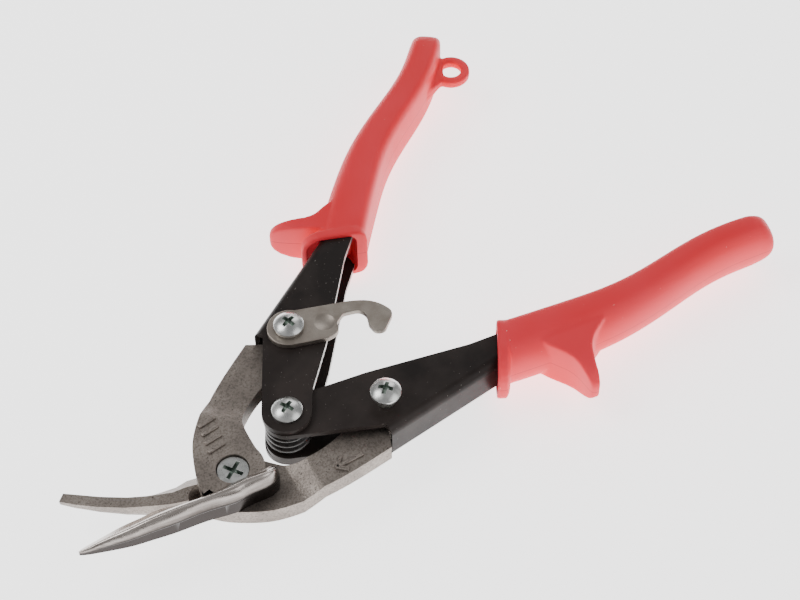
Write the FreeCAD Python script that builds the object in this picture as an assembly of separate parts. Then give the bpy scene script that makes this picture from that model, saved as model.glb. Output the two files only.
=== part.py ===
import FreeCAD, Part
import math
import os

from FreeCAD import Placement, Rotation, Vector

# Offset compound-action aviation snips, drawn open.
# Frame: origin on the blade pivot's axis at the shear plane, +X towards the handles
# along the line that halves the jaw, +Y towards the left handle, +Z towards the screw heads.
# A handle has its own frame too: origin on the handle pivot, u towards the tang pivot
# and v towards the outer side of the hand, so both handles share one set of sizes.

# --- linkage ---------------------------------------------------------------------
BLADE_ARM = 50.0            # blade pivot to tang pivot
LINK_ARM = 29.5             # handle pivot to tang pivot
OPEN_HALF_GAP = 19.3        # tang pivot to centre line, jaws open
BLADE_ANGLE = math.degrees(math.asin(OPEN_HALF_GAP / BLADE_ARM))
LINK_ANGLE = math.degrees(math.asin(OPEN_HALF_GAP / LINK_ARM))
TANG_PIVOT_X = BLADE_ARM * math.cos(math.radians(BLADE_ANGLE))
HANDLE_PIVOT_X = TANG_PIVOT_X - LINK_ARM * math.cos(math.radians(LINK_ANGLE))
LEFT, RIGHT = 1, -1

# --- heights above the shear plane ------------------------------------------------
SHEAR_GAP = 0.05            # each blade's face to the shear plane
PLATE = 6.2                 # blade plate at the blade pivot
TANG_HALF = 3.0             # half thickness of a tang between its flanges
SHEET = 1.8                 # channel sheet
RIGHT_HALF = 6.9            # half height of the inner, right channel
LEFT_HALF = 8.9             # half height of the outer, left channel
FIT = 0.05                  # radial running clearance of a pin
STACK_GAP = 0.05            # axial clearance between stacked pieces
LATCH_SHEET = 2.0

# --- fasteners --------------------------------------------------------------------
PIVOT_R = 2.5               # shank of the three handle screws
HEAD_R = 4.65
HEAD_H = 2.7
RECESS_HALF = 0.62          # half width of a driver cross at its mouth
RECESS_TAPER = 0.6          # its width at the foot, as a share
RECESS_MIDDLE_R = 0.95
RECESS_RISE = 1.0           # the cutter stands this far above the head
SHANK_OVERLAP = 0.2         # a shank runs this far into its head
THREAD_SHOWN = 0.8          # shank left standing out of a nut
BLADE_PIVOT_R = 3.0
BLADE_SEAT = 2.6            # floor of the counterbore for the blade screw's head
BLADE_HEAD_TOP = 5.3
BLADE_NUT_FLATS = 10.0
BLADE_NUT_H = 4.2
BLADE_WASHER_R = 6.4
BLADE_WASHER_H = 1.0
LATCH_WASHER_R = 4.45
LATCH_WASHER_H = 0.6
SPACER_R = 5.0
OPEN_LINK_CLEARANCE = 0.45  # round the blade screw in the rear blade
COUNTERBORE_R = 4.95
NUT_FLATS = 8.0
NUT_H = 3.8
CATCH_COLLAR_R = 2.8
CATCH_COLLAR_H = 4.6
SPRING_WIRE_R = 1.4
SPRING_R = 5.8
SPRING_TURNS = 3
BUSH_R = 4.1

# --- channels, in the handle frame --------------------------------------------------
FLANGE_END_R = 7.3
WEB_START_U = 29.6
WEB_LINE = [(29.6, 10.8), (66.0, -8.6), (100.0, -18.2)]
OPEN_EDGE = [(100.0, -27.0), (67.8, -19.4), (57.8, -16.7), (25.0, -11.4), (7.6, -7.4)]
OPEN_EDGE_R = 12.0
BEND_R = 3.0
INNER_BEND_R = 1.2

# --- grips, in the handle frame: u, v, width, half height -----------------------------
GRIP_BEND = {LEFT: (2.2, 0.15), RIGHT: (4.4, -1.4)}    # end drawn out, then turned in, degrees
GRIP_STATIONS = [
    (68.6, -14.7, 15.6, 10.2), (77.0, -16.9, 14.8, 10.2), (91.0, -20.1, 14.2, 10.1),
    (102.0, -23.0, 13.2, 10.0), (112.0, -27.0, 12.2, 9.8), (122.0, -32.3, 11.6, 9.6),
    (132.0, -37.9, 11.2, 9.5), (142.0, -42.0, 11.0, 9.4), (152.0, -44.4, 10.8, 9.2),
    (158.6, -45.4, 10.4, 8.9),
]
GRIP_CORNER_R = 4.2
GRIP_END_R = 3.6
RIM_OUTER = (64.6, -2.8)
RIM_INNER = (67.9, -23.9)
RIM_HALF = 10.4
RIM_LENGTH = 3.4
RIM_CORNER_R = 6.0
RIM_WALL = 1.7
MOUTH_DEPTH = 3.6
SLEEVE_GAP = 0.06           # between a channel and its moulded sleeve
LEFT_GUARD = [(68.6, -10.5, 0), (70.6, -2.0, 12), (72.4, 7.8, 1.4), (75.4, 7.8, 1.8),
              (76.6, -7.5, 4), (84.0, -12.0, 0), (84.0, -16.0, 0), (69.5, -16.0, 0)]
RIGHT_GUARD = [(77.0, -12.0, 0), (87.0, -9.6, 10), (91.6, 2.2, 1.4), (94.4, 2.0, 1.8),
               (96.2, -15.0, 5), (105.0, -20.0, 0), (100.0, -22.0, 0), (80.0, -16.0, 0)]
GUARD_HALF = 8.4
GUARD_TIP_R = 5.0
LOOP_CENTRE = (147.5, -53.1)
LOOP_HOLE_R = 3.5
LOOP_R = 6.4
LOOP_HALF = 1.6

# --- latch, in its own frame: s along the arm, t to its left ---------------------------
LATCH_ANGLE = -36.5         # arm's direction when parked, about the left tang pivot
LATCH_END_R = 6.7
LATCH_OUTLINE = [(-3.0, 6.2, 3.0), (20.5, 5.6, 28), (28.0, 4.2, 12), (32.4, -1.6, 2.7),
                 (28.2, -7.9, 2.1), (25.2, -7.6, 2.1), (23.9, -4.6, 2.0), (24.2, 1.6, 3.2),
                 (17.2, 1.3, 1.8), (14.6, -1.6, 1.6), (14.9, -5.2, 3.0), (11.0, -6.7, 4),
                 (-3.0, -6.7, 3.0)]
DIMPLE = (11.0, -0.6)
DIMPLE_R = 3.4
DIMPLE_DEPTH = 0.8

# --- blades -----------------------------------------------------------------------
TANG_END_U = 29.0           # tang shoulder that stops on the web's end
TANG_END_R = 7.0
TANG_OUTER = [(27.2, 27.2), (17.0, 24.3), (9.5, 21.4), (3.6, 18.4), (-1.0, 15.2), (-5.6, 10.4),
              (-9.2, 5.6), (-11.6, 0.6)]
TANG_INNER = [(8.9, -2.6), (9.6, -0.3), (11.4, 4.4), (13.6, 8.7), (16.6, 11.6), (21.0, 13.4),
              (28.0, 14.6)]
JOGGLE = (15.0, 22.0)       # along the tang, from plate height to tang height

# Front jaw sections, root to tip: cutting edge, back edge, height, land's share of width and height
FRONT_JAW = [
    ((8.9, -6.6), (8.3, -10.4), 6.0, 0.30, 0.68), ((8.0, -5.6), (6.6, -12.0), 8.6, 0.34, 0.68),
    ((6.2, -4.6), (4.2, -12.4), 9.8, 0.36, 0.66),
    ((2.0, -1.4), (-1.4, -10.4), 10.0, 0.40, 0.62), ((-5.6, 1.6), (-8.8, -7.6), 10.0, 0.40, 0.60),
    ((-12.0, 3.4), (-14.8, -3.9), 9.8, 0.38, 0.56), ((-18.2, 7.8), (-21.0, -0.8), 9.2, 0.42, 0.50),
    ((-24.7, 11.3), (-27.7, 2.8), 8.3, 0.45, 0.50), ((-30.4, 13.5), (-33.4, 6.1), 7.0, 0.45, 0.50),
    ((-36.0, 15.3), (-38.4, 9.6), 5.4, 0.45, 0.52), ((-41.4, 16.8), (-43.0, 13.2), 3.4, 0.45, 0.55),
    ((-46.0, 17.8), (-46.7, 16.6), 1.5, 0.45, 0.60),
]
# Rear jaw sections, root to tip: cutting edge, face's outer edge, body's extra width, depth
REAR_JAW = [
    ((-4.0, -0.8), (-0.6, 2.8), 4.6, 4.6), ((-9.6, 2.8), (-6.4, 6.4), 5.4, 6.0),
    ((-14.0, 5.7), (-10.8, 9.2), 6.0, 7.4),
    ((-17.6, 8.4), (-14.6, 11.0), 5.4, 7.4), ((-22.6, 13.2), (-19.7, 15.3), 3.8, 6.8),
    ((-27.2, 18.0), (-24.3, 20.0), 2.4, 5.8), ((-32.2, 24.5), (-29.2, 26.3), 1.0, 4.8),
    ((-35.9, 30.2), (-32.8, 31.7), 0.5, 3.9), ((-38.0, 34.3), (-35.3, 35.4), 0.3, 3.2),
]
HEEL_R = 9.5                # both blades round the blade pivot
RELIEF_CENTRE = (-9.9, 3.2)  # round pocket in the rear blade beside the front tang's heel
RELIEF_R = 4.3
RELIEF_DEPTH = 4.6


# --- outlines and frames ------------------------------------------------------------
def unit(vector):
    return Vector(vector).normalize()


def handle_point(u, v, side, z=0.0):
    """A point of the handle frame, in the part's frame."""
    angle = math.radians(LINK_ANGLE)
    return Vector(HANDLE_PIVOT_X + u * math.cos(angle) - v * math.sin(angle),
                  side * (u * math.sin(angle) + v * math.cos(angle)), z)


def blade_point(x, y, side, z=0.0):
    return Vector(x, side * y, z)


def rounded_wire(corners):
    """Closed outline of (point, radius) corners, each corner an arc where its radius isn't 0."""
    edges, starts, ends = [], [], []
    count = len(corners)
    for i, (point, radius) in enumerate(corners):
        before, after = corners[i - 1][0], corners[(i + 1) % count][0]
        back, on = unit(before - point), unit(after - point)
        if radius == 0:
            starts.append(point)
            ends.append(point)
            continue
        half = math.acos(max(-1.0, min(1.0, back.dot(on)))) / 2
        reach = radius / math.tan(half)
        middle = point + unit(back + on) * (radius / math.sin(half) - radius)
        starts.append(point + back * reach)
        ends.append(point + on * reach)
        edges.append((i, Part.Arc(starts[i], middle, ends[i]).toShape()))
    arcs = dict(edges)
    outline = []
    for i in range(count):
        if i in arcs:
            outline.append(arcs[i])
        gap = starts[(i + 1) % count] - ends[i]
        if gap.Length > 1e-6:
            outline.append(Part.LineSegment(ends[i], starts[(i + 1) % count]).toShape())
    return Part.Wire(outline)


def prism(wire, height):
    """Solid from a flat outline, along Z."""
    return Part.Face(wire).extrude(Vector(0, 0, height))


def polygon(points, height):
    return prism(Part.makePolygon(list(points) + [points[0]]), height)


def curve(points):
    """Smooth edge through points."""
    spline = Part.BSplineCurve()
    spline.interpolate(points)
    return spline.toShape()


def disc(x, y, low, high, radius):
    return Part.makeCylinder(radius, high - low, Vector(x, y, low))


def tube(x, y, low, high, outer, inner):
    return disc(x, y, low, high, outer).cut(disc(x, y, low - 1, high + 1, inner))


def place_handle(shape, side):
    """Move a shape from the left-handed handle frame to its handle."""
    moved = shape if side == LEFT else shape.mirror(Vector(0, 0, 0), Vector(0, 1, 0))
    turn = Rotation(Vector(0, 0, 1), side * LINK_ANGLE)
    return moved.transformed(Placement(Vector(HANDLE_PIVOT_X, 0, 0), turn).toMatrix())


def tang_pivot(side):
    return TANG_PIVOT_X, side * OPEN_HALF_GAP


# --- blades -----------------------------------------------------------------------
def tang_plate(side, low, high):
    """The forged plate from the blade pivot to the tang pivot, seen from above."""
    shoulder = handle_point(TANG_END_U, 13.8, side)
    inside = handle_point(TANG_END_U, 5.5, side)
    x, y = tang_pivot(side)
    outer = [shoulder] + [blade_point(*p, side) for p in TANG_OUTER]
    inner = [blade_point(*p, side) for p in TANG_INNER] + [Vector(x, y - side * TANG_END_R, 0)]
    edges = [curve(outer), Part.LineSegment(outer[-1], inner[0]).toShape(), curve(inner),
             Part.LineSegment(inner[-1], Vector(x, y, 0)).toShape(),
             Part.LineSegment(Vector(x, y, 0), inside).toShape(),
             Part.LineSegment(inside, shoulder).toShape()]
    band = prism(Part.Wire(edges), high - low)
    band.translate(Vector(0, 0, low))
    heel = disc(0, 0, low, high, HEEL_R)
    return band.fuse([disc(x, y, low, high, TANG_END_R), heel]).removeSplitter()


def joggled(side, plate_low, plate_high):
    """Side view of a blade: plate at the blade pivot, stepped to mid height at the tang pivot."""
    start, end = JOGGLE
    far = 90.0
    profile = [(-60, plate_low), (start, plate_low), (end, -TANG_HALF), (far, -TANG_HALF),
               (far, TANG_HALF), (end, TANG_HALF), (start, plate_high), (-60, plate_high)]
    wire = Part.makePolygon([Vector(s, -far, z) for s, z in profile + profile[:1]])
    solid = Part.Face(wire).extrude(Vector(0, 2 * far, 0))
    solid.rotate(Vector(0, 0, 0), Vector(0, 0, 1), side * BLADE_ANGLE)
    return solid


def front_section(edge, back, height, land_width, land_height):
    """Jaw section: sloped land from the cutting edge, rounded ridge, upright back."""
    start = Vector(*edge, SHEAR_GAP)
    across = Vector(*back, SHEAR_GAP) - start

    def at(share, rise):
        return start + across * share + Vector(0, 0, rise * height)

    ridge = [at(land_width, land_height), at(0.64, 0.90), at(0.80, 1.0), at(0.94, 0.86), at(1, 0.5)]
    edges = [Part.LineSegment(start, ridge[0]).toShape(), curve(ridge),
             Part.LineSegment(ridge[-1], at(1, 0)).toShape(),
             Part.LineSegment(at(1, 0), start).toShape()]
    return Part.Wire(edges)


def rear_section(edge, face, extra, depth):
    """Jaw section: flat shear face, body that widens away below it."""
    start = Vector(*edge, -SHEAR_GAP)
    across = Vector(*face, -SHEAR_GAP) - start
    out = unit(across)
    points = [start, start + across, start + across + out * extra - Vector(0, 0, depth * 0.8),
              start + across + out * (extra - 0.9) - Vector(0, 0, depth),
              start + out * 1.2 - Vector(0, 0, depth), start + out * 0.25 - Vector(0, 0, depth * 0.6)]
    return Part.makePolygon(points + [start])


def front_blade():
    body = tang_plate(LEFT, -20, 20).common(joggled(LEFT, SHEAR_GAP, PLATE))
    jaw = Part.makeLoft([front_section(*s) for s in FRONT_JAW], True, False)
    x, y = tang_pivot(LEFT)
    blade = body.fuse(jaw).removeSplitter()
    blade = blade.cut(disc(0, 0, BLADE_SEAT, 20, COUNTERBORE_R))
    blade = blade.cut(disc(0, 0, -20, 20, BLADE_PIVOT_R + FIT))
    return blade.cut(disc(x, y, -20, 20, PIVOT_R + FIT))


def rear_blade():
    body = tang_plate(RIGHT, -20, 20).common(joggled(RIGHT, -PLATE, -SHEAR_GAP))
    jaw = Part.makeLoft([rear_section(*s) for s in REAR_JAW], True, True)
    x, y = tang_pivot(RIGHT)
    blade = body.fuse(jaw).removeSplitter()
    relief = disc(*RELIEF_CENTRE, -RELIEF_DEPTH, RELIEF_DEPTH, RELIEF_R)
    blade = blade.cut(relief.cut(disc(0, 0, -20, 20, HEEL_R)))
    blade = blade.cut(disc(0, 0, -20, 20, BLADE_PIVOT_R + OPEN_LINK_CLEARANCE))
    return blade.cut(disc(x, y, -20, 20, PIVOT_R + FIT))


# --- channels and grips -------------------------------------------------------------
def web_offset(distance):
    """The web line moved to the hand side by a distance, as (u, v) points."""
    moved = []
    for i, (u, v) in enumerate(WEB_LINE):
        a = WEB_LINE[max(i - 1, 0)]
        b = WEB_LINE[min(i + 1, len(WEB_LINE) - 1)]
        along = unit(Vector(b[0] - a[0], b[1] - a[1], 0))
        moved.append((u + along.y * distance, v - along.x * distance))
    return moved


def beyond(a, b, distance):
    """The point a distance past b, on the line from a."""
    along = unit(Vector(b[0] - a[0], b[1] - a[1], 0))
    return b[0] + along.x * distance, b[1] + along.y * distance


def channel_block(half, spread=0.0, tail=0.0):
    """Outer form of a channel with its two bends rounded, in the handle frame."""
    web = web_offset(-spread)
    edge = [(u, v - spread) for u, v in OPEN_EDGE]
    ends = [beyond(web[1], web[2], tail), beyond(edge[1], edge[0], tail)]
    corners = [(u, v, 0) for u, v in [(WEB_START_U, web[0][1]), web[1]] + ends]
    corners += [(u, v, OPEN_EDGE_R if u > LINK_ARM else 0) for u, v in edge[1:]]
    corners += [(-FLANGE_END_R, -FLANGE_END_R, FLANGE_END_R - 0.2),
                (-FLANGE_END_R, FLANGE_END_R + 0.2, FLANGE_END_R - 0.2), (28.2, 8.0, 0)]
    wire = rounded_wire([(Vector(u, v, -half), r) for u, v, r in corners])
    block = prism(wire, 2 * half)
    return block.makeFillet(BEND_R, edges_along(block, corners[:3]))


def edges_along(solid, path):
    """The solid's level edges whose two ends both stand on points of a path in plan."""
    def on_path(vertex):
        return any(math.hypot(vertex.X - p[0], vertex.Y - p[1]) < 0.01 for p in path)

    return [e for e in solid.Edges if len(e.Vertexes) == 2 and all(map(on_path, e.Vertexes))
            and abs(e.Vertexes[0].Z - e.Vertexes[1].Z) < 0.01]


def channel(side, half):
    """Folded sheet: two flanges, joined by a web from the tang pivot to inside the grip."""
    block = channel_block(half)
    web = web_offset(SHEET)
    far_u, far_v = beyond(web[1], web[2], 9)
    hollow = [(-30, -60), (-30, 30), (WEB_START_U, 30), (WEB_START_U, web[0][1]), web[1],
              (far_u, far_v), (far_u, -60)]
    inner = half - SHEET
    cavity = polygon([Vector(u, v, -inner) for u, v in hollow], 2 * inner)
    cavity = cavity.makeFillet(INNER_BEND_R, edges_along(cavity, hollow[3:6]))
    folded = block.cut(cavity)
    folded = folded.cut(disc(0, 0, -20, 20, PIVOT_R + FIT))
    folded = folded.cut(disc(LINK_ARM, 0, -20, 20, PIVOT_R + FIT))
    return place_handle(folded, side)


def section_at(u, v, width, half, along, corner):
    """Rounded rectangle across the grip at one station."""
    across = Vector(-along.y, along.x, 0)
    centre = Vector(u, v, 0)
    up = Vector(0, 0, 1)
    signs = [(1, 1), (1, -1), (-1, -1), (-1, 1)]
    return rounded_wire([(centre + across * (a * width / 2) + up * (b * half), corner)
                         for a, b in signs])


def grip_stations(side):
    """The shared stations, drawn out and turned about the mouth by this grip's own bend."""
    stretch, turn = GRIP_BEND[side]
    u0, v0 = GRIP_STATIONS[0][:2]
    reach = GRIP_STATIONS[-1][0] - u0
    angle = math.radians(turn)
    stations = []
    for u, v, width, half in GRIP_STATIONS:
        along = (u - u0) * (1 + stretch / reach)
        across = v - v0
        stations.append((u0 + along * math.cos(angle) - across * math.sin(angle),
                         v0 + along * math.sin(angle) + across * math.cos(angle), width, half))
    return stations


def grip_body(side):
    stations = grip_stations(side)
    wires = []
    for i, (u, v, width, half) in enumerate(stations):
        a = stations[max(i - 1, 0)]
        b = stations[min(i + 1, len(stations) - 1)]
        along = unit(Vector(b[0] - a[0], b[1] - a[1], 0))
        wires.append(section_at(u, v, width, half, along, GRIP_CORNER_R))
    body = Part.makeLoft(wires, True, False)
    tip = max(body.Faces, key=lambda f: f.CenterOfMass.x)
    return body.makeFillet(GRIP_END_R, tip.Edges)


def rim_block(inset, start, length):
    """Block across the grip's mouth: its flared rim, or the pocket inside it."""
    a, b = Vector(*RIM_OUTER, 0), Vector(*RIM_INNER, 0)
    across = unit(a - b)
    along = Vector(across.y, -across.x, 0)
    centre = (a + b) * 0.5 + along * start
    wire = section_at(centre.x, centre.y, (a - b).Length - 2 * inset, RIM_HALF - inset, along,
                      RIM_CORNER_R - inset * 0.5)
    return Part.Face(wire).extrude(along * length)


def guard(outline):
    """Thumb guard: a thin swept plate whose outer corners are rounded, seen from the mouth."""
    wire = rounded_wire([(Vector(u, v, -GUARD_HALF), r) for u, v, r in outline])
    plate = prism(wire, 2 * GUARD_HALF)
    tip = max(v for _, v, _ in outline)
    start = min(u for u, _, _ in outline) - 1
    face = rounded_wire([(Vector(start, tip, -GUARD_HALF), GUARD_TIP_R),
                         (Vector(start, tip, GUARD_HALF), GUARD_TIP_R),
                         (Vector(start, -30, GUARD_HALF), 0), (Vector(start, -30, -GUARD_HALF), 0)])
    return plate.common(Part.Face(face).extrude(Vector(60, 0, 0)))


def hang_loop():
    """Ring that stands on the left grip's hand side, up to the grip's skin."""
    x, y = LOOP_CENTRE
    ring = disc(x, y, -LOOP_HALF, LOOP_HALF, LOOP_R)
    root = [(x - 9.5, y + 7.0), (x - 5.2, y - 3.4), (x + 5.2, y - 3.4), (x + 9.0, y + 7.0)]
    loop = ring.fuse(polygon([Vector(u, v, -LOOP_HALF) for u, v in root], 2 * LOOP_HALF))
    loop = loop.cut(disc(x, y, -20, 20, LOOP_HOLE_R)).cut(grip_body(LEFT))
    return place_handle(loop.removeSplitter(), LEFT)


def grip(side, half):
    """Moulded sleeve with a flared mouth, a thumb guard and a cavity for its channel."""
    outline = LEFT_GUARD if side == LEFT else RIGHT_GUARD
    sleeve = grip_body(side).fuse([rim_block(0, 0, RIM_LENGTH), guard(outline)])
    sleeve = sleeve.cut(rim_block(RIM_WALL, -1, MOUTH_DEPTH + 1))
    sleeve = sleeve.cut(channel_block(half + SLEEVE_GAP, SLEEVE_GAP, 1.0))
    return place_handle(sleeve.removeSplitter(), side)


# --- fasteners and small parts --------------------------------------------------------
def cross_recess(x, y, top, depth, reach, turn):
    """Tapered cross for a driver, sunk into a head and open above it."""
    foot_reach = reach * 0.55
    cross = disc(0, 0, -depth * 0.75, RECESS_RISE, RECESS_MIDDLE_R)
    for quarter in (0, 90):
        mouth = [(-reach, -RECESS_HALF), (reach, -RECESS_HALF), (reach, RECESS_HALF),
                 (-reach, RECESS_HALF)]
        foot = [(u * foot_reach / reach, v * RECESS_TAPER) for u, v in mouth]
        sections = [Part.makePolygon([Vector(u, v, z) for u, v in outline + outline[:1]])
                    for outline, z in ((foot, -depth), (mouth, 0), (mouth, RECESS_RISE))]
        bar = Part.makeLoft(sections, True, True)
        bar.rotate(Vector(0, 0, 0), Vector(0, 0, 1), turn + quarter)
        cross = cross.fuse(bar)
    cross.translate(Vector(x, y, top))
    return cross


def pan_screw(x, y, seat, end, turn):
    """Screw with a domed head on its seat and a plain shank down to its end."""
    rim = 0.9
    rise = HEAD_H - rim
    sphere_r = (HEAD_R ** 2 + rise ** 2) / (2 * rise)
    dome = Part.makeSphere(sphere_r, Vector(x, y, seat + HEAD_H - sphere_r))
    head = dome.common(disc(x, y, seat, seat + HEAD_H + 1, HEAD_R))
    screw = head.fuse(disc(x, y, end, seat + SHANK_OVERLAP, PIVOT_R)).removeSplitter()
    return screw.cut(cross_recess(x, y, seat + HEAD_H - 0.1, 1.7, 2.4, turn))


def hex_nut(x, y, low, flats, height, bore):
    corner = flats / math.sqrt(3)
    points = [Vector(x + corner * math.cos(math.radians(a)), y + corner * math.sin(math.radians(a)), low)
              for a in range(0, 360, 60)]
    body = polygon(points, height)
    rounding = Part.makeCone(corner + 0.4, corner - 0.4, height, Vector(x, y, low))
    other = Part.makeCone(corner - 0.4, corner + 0.4, height, Vector(x, y, low))
    return body.common(rounding.fuse(other)).cut(disc(x, y, low - 1, low + height + 1, bore))


def blade_pivot_set():
    """Sunk screw that both blades turn on, with its washer and nut under the rear blade."""
    washer_high = -PLATE - STACK_GAP
    washer_low = washer_high - BLADE_WASHER_H
    nut_low = washer_low - BLADE_NUT_H
    head = disc(0, 0, BLADE_SEAT, BLADE_HEAD_TOP, HEAD_R)
    shank = disc(0, 0, nut_low - THREAD_SHOWN, BLADE_SEAT + SHANK_OVERLAP, BLADE_PIVOT_R)
    recess = cross_recess(0, 0, BLADE_HEAD_TOP + 0.1, 1.9, 3.3, 16)
    return {
        "blade_pivot_screw": head.fuse(shank).removeSplitter().cut(recess),
        "blade_pivot_washer": tube(0, 0, washer_low, washer_high, BLADE_WASHER_R, BLADE_PIVOT_R),
        "blade_pivot_nut": hex_nut(0, 0, nut_low, BLADE_NUT_FLATS, BLADE_NUT_H, BLADE_PIVOT_R),
    }


def handle_hub():
    """Screw, nut and bush that both handles turn on."""
    x, end = HANDLE_PIVOT_X, -LEFT_HALF - NUT_H - THREAD_SHOWN
    inner = RIGHT_HALF - SHEET
    return {
        "handle_pivot_screw": pan_screw(x, 0, LEFT_HALF, end, 10),
        "handle_pivot_nut": hex_nut(x, 0, -LEFT_HALF - NUT_H, NUT_FLATS, NUT_H, PIVOT_R),
        "spring_bush": tube(x, 0, -inner + STACK_GAP, inner - STACK_GAP, BUSH_R, PIVOT_R + FIT),
    }


def return_spring():
    """Torsion spring: touching turns round the bush and a leg inside each handle."""
    x = HANDLE_PIVOT_X
    pitch = 2 * SPRING_WIRE_R
    heights = [(i - (SPRING_TURNS - 1) / 2) * pitch for i in range(SPRING_TURNS)]
    turns = [Part.makeTorus(SPRING_R, SPRING_WIRE_R, Vector(x, 0, z)) for z in heights]
    core = tube(x, 0, heights[0], heights[-1], SPRING_R + 0.5, SPRING_R - 0.5)
    coil = turns[0].fuse(turns[1:] + [core])
    legs = []
    for side, z in ((LEFT, heights[-1]), (RIGHT, heights[0])):
        root = handle_point(0, -SPRING_R, side, z)
        along = handle_point(22, -SPRING_R, side, z) - root
        legs.append(Part.makeCylinder(SPRING_WIRE_R - 0.02, along.Length, root, along))
    return coil.fuse(legs)


def latch():
    """Stamped hook that swings over the catch stud to hold the handles shut."""
    low = LEFT_HALF + STACK_GAP
    wire = rounded_wire([(Vector(s, t, low), r) for s, t, r in LATCH_OUTLINE])
    plate = prism(wire, LATCH_SHEET).fuse(disc(0, 0, low, low + LATCH_SHEET, LATCH_END_R))
    ball_r = (DIMPLE_R ** 2 + DIMPLE_DEPTH ** 2) / (2 * DIMPLE_DEPTH)
    ball = Part.makeSphere(ball_r, Vector(*DIMPLE, low + LATCH_SHEET - DIMPLE_DEPTH + ball_r))
    plate = plate.cut(ball).cut(disc(0, 0, -20, 20, PIVOT_R + FIT)).removeSplitter()
    x, y = tang_pivot(LEFT)
    turn = Rotation(Vector(0, 0, 1), LATCH_ANGLE)
    return plate.transformed(Placement(Vector(x, y, 0), turn).toMatrix())


def latch_screw_set():
    """Screw through the latch, the left flanges and the front tang, with its washer and nut."""
    x, y = tang_pivot(LEFT)
    washer_low = LEFT_HALF + STACK_GAP + LATCH_SHEET + STACK_GAP
    washer_high = washer_low + LATCH_WASHER_H
    end = -LEFT_HALF - NUT_H - THREAD_SHOWN
    return {
        "latch_screw": pan_screw(x, y, washer_high, end, 0),
        "latch_washer": tube(x, y, washer_low, washer_high, LATCH_WASHER_R, PIVOT_R),
        "latch_nut": hex_nut(x, y, -LEFT_HALF - NUT_H, NUT_FLATS, NUT_H, PIVOT_R),
    }


def catch_set():
    """Headed stud that the latch hooks round, through the right flanges and the rear tang."""
    x, y = tang_pivot(RIGHT)
    seat = RIGHT_HALF + CATCH_COLLAR_H
    end = -RIGHT_HALF - NUT_H - THREAD_SHOWN
    return {
        "catch_screw": pan_screw(x, y, seat, end, 25),
        "catch_collar": tube(x, y, RIGHT_HALF, seat, CATCH_COLLAR_R, PIVOT_R),
        "catch_nut": hex_nut(x, y, -RIGHT_HALF - NUT_H, NUT_FLATS, NUT_H, PIVOT_R),
    }


def tang_spacers(side, half):
    """Two rings that centre a tang between its flanges."""
    x, y = tang_pivot(side)
    low, high = TANG_HALF + STACK_GAP, half - SHEET
    return Part.makeCompound([tube(x, y, low, high, SPACER_R, PIVOT_R),
                              tube(x, y, -high, -low, SPACER_R, PIVOT_R)])


def main():
    nodes = {
        "front_blade": front_blade(),
        "rear_blade": rear_blade(),
        "left_channel": channel(LEFT, LEFT_HALF),
        "right_channel": channel(RIGHT, RIGHT_HALF),
        "left_grip": grip(LEFT, LEFT_HALF),
        "right_grip": grip(RIGHT, RIGHT_HALF),
        "hang_loop": hang_loop(),
        "return_spring": return_spring(),
        "latch": latch(),
        "left_tang_spacers": tang_spacers(LEFT, LEFT_HALF),
        "right_tang_spacers": tang_spacers(RIGHT, RIGHT_HALF),
    }
    for group in (blade_pivot_set(), handle_hub(), latch_screw_set(), catch_set()):
        nodes.update(group)
    os.makedirs("parts", exist_ok=True)
    for name, shape in nodes.items():
        if not shape.isValid():
            print("not valid:", name)
        print(name, len(shape.Solids), round(shape.Volume, 1))
        shape.exportStep("parts/" + name + ".step")


main()
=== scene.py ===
"""Looks of a pair of offset compound-action aviation snips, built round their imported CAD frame."""
import logging
import math
from dataclasses import dataclass
from enum import Enum
from typing import Callable, Iterable, Optional, Sequence, Union

import bmesh
import bpy
from mathutils import Matrix, Vector


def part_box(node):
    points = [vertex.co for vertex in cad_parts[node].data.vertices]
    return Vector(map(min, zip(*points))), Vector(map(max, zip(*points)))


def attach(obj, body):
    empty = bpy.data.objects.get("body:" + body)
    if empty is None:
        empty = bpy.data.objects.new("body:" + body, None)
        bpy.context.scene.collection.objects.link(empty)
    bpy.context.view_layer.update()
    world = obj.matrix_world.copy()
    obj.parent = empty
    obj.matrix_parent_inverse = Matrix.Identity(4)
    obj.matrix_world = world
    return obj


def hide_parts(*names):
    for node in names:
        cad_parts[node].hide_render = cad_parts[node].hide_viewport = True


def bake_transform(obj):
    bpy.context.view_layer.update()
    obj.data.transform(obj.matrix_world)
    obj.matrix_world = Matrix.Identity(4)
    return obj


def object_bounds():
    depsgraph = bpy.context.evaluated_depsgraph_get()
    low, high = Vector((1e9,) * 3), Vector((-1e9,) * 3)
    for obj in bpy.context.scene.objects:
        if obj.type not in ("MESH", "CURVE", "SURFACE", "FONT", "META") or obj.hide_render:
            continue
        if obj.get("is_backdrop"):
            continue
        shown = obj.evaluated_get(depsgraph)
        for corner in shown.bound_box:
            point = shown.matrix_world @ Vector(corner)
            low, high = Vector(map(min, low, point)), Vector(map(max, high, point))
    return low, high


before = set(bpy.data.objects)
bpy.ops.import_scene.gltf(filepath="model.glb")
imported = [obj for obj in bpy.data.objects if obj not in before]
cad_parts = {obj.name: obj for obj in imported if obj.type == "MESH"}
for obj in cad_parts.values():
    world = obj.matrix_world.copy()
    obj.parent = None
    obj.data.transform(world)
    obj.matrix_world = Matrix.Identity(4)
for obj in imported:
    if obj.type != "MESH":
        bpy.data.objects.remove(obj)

MM = 0.001
UPRIGHT = 0.8  # a face is a wall while its normal's Z stays under this
FLOOR_GAP = 0.0005  # metres between the tool's lowest point and the floor
log = logging.getLogger("snips")

Pair = tuple[float, float]
Point = tuple[float, float, float]
Section = tuple[float, float, float, float]
Test = Callable[[Vector, Vector], bool]


class Side(Enum):
    """The two hands of the tool; the value is the sign of Y."""

    LEFT = 1
    RIGHT = -1


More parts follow.
